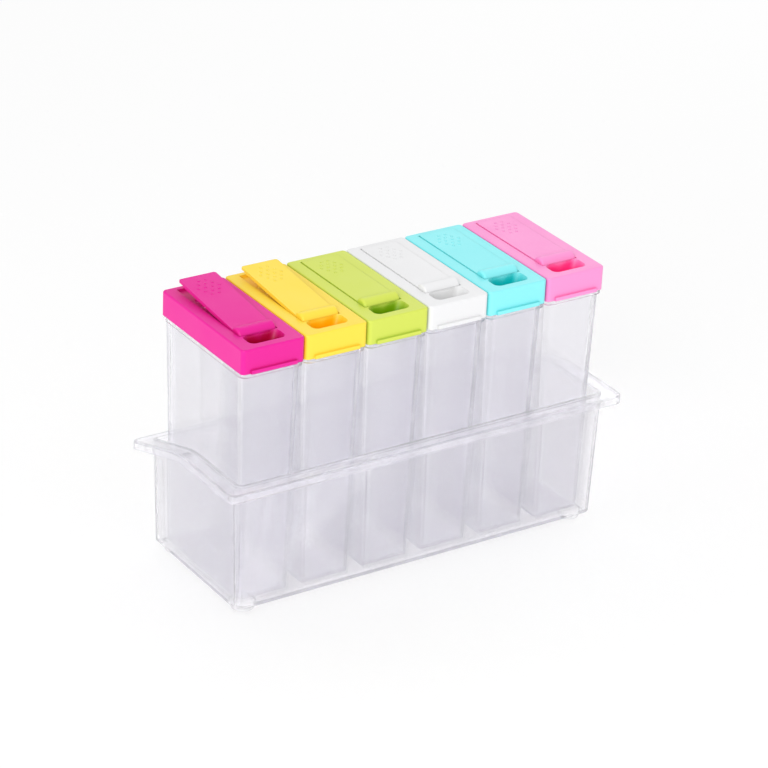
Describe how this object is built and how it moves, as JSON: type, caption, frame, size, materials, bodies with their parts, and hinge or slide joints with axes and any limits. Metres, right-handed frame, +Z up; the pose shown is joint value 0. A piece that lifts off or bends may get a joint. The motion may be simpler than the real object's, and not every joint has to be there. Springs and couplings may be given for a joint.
{
  "type": "spice rack with jars",
  "caption": "Clear open tray with a turned-down rim, holding a row of narrow clear spice jars whose coloured push-on lids each have a long hinged flap over shaker holes.",
  "frame": {"origin": "middle of the overall box, on the plane that the four feet stand on", "axes": "+X along the row of jars, from the magenta end to the pink end; -Y the front, where the finger slots and the high part of the rim are; +Z up"},
  "size_m": [0.2106, 0.0898, 0.1352],
  "materials": {
    "clear_plastic": "clear, glossy, very slightly lilac",
    "magenta_plastic": "satin moulded plastic, slightly translucent",
    "yellow_plastic": "satin moulded plastic, slightly translucent",
    "lime_plastic": "satin moulded plastic, slightly translucent",
    "white_plastic": "satin moulded plastic, slightly translucent",
    "cyan_plastic": "satin moulded plastic, slightly translucent",
    "pink_plastic": "satin moulded plastic, slightly translucent"
  },
  "bodies": {
    "tray": {"tray": "clear_plastic"},
    "jar_magenta": {"jar_magenta": "clear_plastic"},
    "lid_magenta": {"lid_magenta": "magenta_plastic"},
    "flap_magenta": {"flap_magenta": "magenta_plastic"},
    "jar_yellow": {"jar_yellow": "clear_plastic"},
    "lid_yellow": {"lid_yellow": "yellow_plastic"},
    "flap_yellow": {"flap_yellow": "yellow_plastic"},
    "jar_lime": {"jar_lime": "clear_plastic"},
    "lid_lime": {"lid_lime": "lime_plastic"},
    "flap_lime": {"flap_lime": "lime_plastic"},
    "jar_white": {"jar_white": "clear_plastic"},
    "lid_white": {"lid_white": "white_plastic"},
    "flap_white": {"flap_white": "white_plastic"},
    "jar_cyan": {"jar_cyan": "clear_plastic"},
    "lid_cyan": {"lid_cyan": "cyan_plastic"},
    "flap_cyan": {"flap_cyan": "cyan_plastic"},
    "jar_pink": {"jar_pink": "clear_plastic"},
    "lid_pink": {"lid_pink": "pink_plastic"},
    "flap_pink": {"flap_pink": "pink_plastic"}
  },
  "joints": [
    {"name": "jar_magenta_lift", "type": "slide", "parent": "tray", "child": "jar_magenta", "axis": [0, 0, 1], "range_m": [0, 0.08]},
    {"name": "lid_magenta_pull_off", "type": "slide", "parent": "jar_magenta", "child": "lid_magenta", "axis": [0, 0, 1], "range_m": [0, 0.04]},
    {"name": "flap_magenta_hinge", "type": "hinge", "parent": "lid_magenta", "child": "flap_magenta", "pos_m": [-0.08, -0.0181, 0.1287], "axis": [1, 0, 0], "range_deg": [-5.5, 114.5]},
    {"name": "jar_yellow_lift", "type": "slide", "parent": "tray", "child": "jar_yellow", "axis": [0, 0, 1], "range_m": [0, 0.08]},
    {"name": "lid_yellow_pull_off", "type": "slide", "parent": "jar_yellow", "child": "lid_yellow", "axis": [0, 0, 1], "range_m": [0, 0.04]},
    {"name": "flap_yellow_hinge", "type": "hinge", "parent": "lid_yellow", "child": "flap_yellow", "pos_m": [-0.048, -0.0181, 0.1287], "axis": [1, 0, 0], "range_deg": [-5, 115]},
    {"name": "jar_lime_lift", "type": "slide", "parent": "tray", "child": "jar_lime", "axis": [0, 0, 1], "range_m": [0, 0.08]},
    {"name": "lid_lime_pull_off", "type": "slide", "parent": "jar_lime", "child": "lid_lime", "axis": [0, 0, 1], "range_m": [0, 0.04]},
    {"name": "flap_lime_hinge", "type": "hinge", "parent": "lid_lime", "child": "flap_lime", "pos_m": [-0.016, -0.0181, 0.1287], "axis": [1, 0, 0], "range_deg": [0, 120]},
    {"name": "jar_white_lift", "type": "slide", "parent": "tray", "child": "jar_white", "axis": [0, 0, 1], "range_m": [0, 0.08]},
    {"name": "lid_white_pull_off", "type": "slide", "parent": "jar_white", "child": "lid_white", "axis": [0, 0, 1], "range_m": [0, 0.04]},
    {"name": "flap_white_hinge", "type": "hinge", "parent": "lid_white", "child": "flap_white", "pos_m": [0.016, -0.0181, 0.1287], "axis": [1, 0, 0], "range_deg": [0, 120]},
    {"name": "jar_cyan_lift", "type": "slide", "parent": "tray", "child": "jar_cyan", "axis": [0, 0, 1], "range_m": [0, 0.08]},
    {"name": "lid_cyan_pull_off", "type": "slide", "parent": "jar_cyan", "child": "lid_cyan", "axis": [0, 0, 1], "range_m": [0, 0.04]},
    {"name": "flap_cyan_hinge", "type": "hinge", "parent": "lid_cyan", "child": "flap_cyan", "pos_m": [0.048, -0.0181, 0.1287], "axis": [1, 0, 0], "range_deg": [0, 120]},
    {"name": "jar_pink_lift", "type": "slide", "parent": "tray", "child": "jar_pink", "axis": [0, 0, 1], "range_m": [0, 0.08]},
    {"name": "lid_pink_pull_off", "type": "slide", "parent": "jar_pink", "child": "lid_pink", "axis": [0, 0, 1], "range_m": [0, 0.04]},
    {"name": "flap_pink_hinge", "type": "hinge", "parent": "lid_pink", "child": "flap_pink", "pos_m": [0.08, -0.0181, 0.1287], "axis": [1, 0, 0], "range_deg": [0, 120]}
  ]
}
